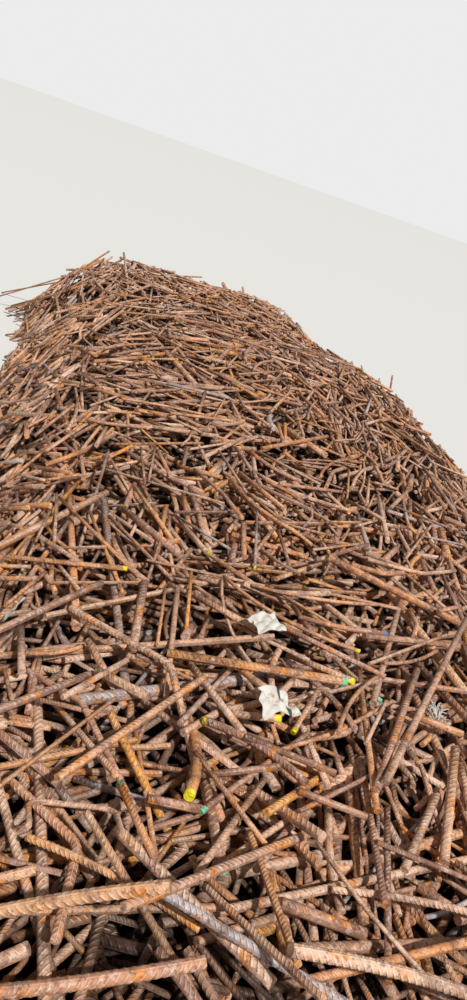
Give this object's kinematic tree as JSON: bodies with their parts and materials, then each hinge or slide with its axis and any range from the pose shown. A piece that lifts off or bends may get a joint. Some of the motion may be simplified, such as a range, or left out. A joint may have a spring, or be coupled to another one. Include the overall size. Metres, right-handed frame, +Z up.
{
  "type": "heap of cut reinforcing bars",
  "caption": "Loose heap of short rusty ribbed reinforcing bars, straight and bent, resting on its flat underside.",
  "frame": {"origin": "on the ground under the middle of the heap, at the centre of the flat face that it rests on", "axes": "+Z up, +Y along the heap from its near end to its far end, +X across it to the right"},
  "size_m": [4.0293, 8.3777, 0.9004],
  "materials": {
    "rusty_bar": "matt rust, ribbed",
    "rusty_bent_bar": "matt rust, ribbed",
    "packed_core": "dark rust in shade"
  },
  "bodies": {
    "root": {"bowed_bars": "rusty_bent_bar", "cranked_bars": "rusty_bent_bar", "far_straight_bars_12mm": "rusty_bar", "far_straight_bars_16mm": "rusty_bar", "far_straight_bars_20mm": "rusty_bar", "far_straight_bars_25mm": "rusty_bar", "far_straight_bars_32mm": "rusty_bar", "hooked_bars": "rusty_bent_bar", "kinked_bars": "rusty_bent_bar", "l_shaped_bars": "rusty_bent_bar", "middle_straight_bars_12mm": "rusty_bar", "middle_straight_bars_16mm": "rusty_bar", "middle_straight_bars_20mm": "rusty_bar", "middle_straight_bars_25mm": "rusty_bar", "middle_straight_bars_32mm": "rusty_bar", "near_straight_bars_12mm": "rusty_bar", "near_straight_bars_16mm": "rusty_bar", "near_straight_bars_20mm": "rusty_bar", "near_straight_bars_25mm": "rusty_bar", "near_straight_bars_32mm": "rusty_bar", "packed_core": "packed_core", "u_shaped_bars": "rusty_bent_bar"}
  },
  "joints": []
}
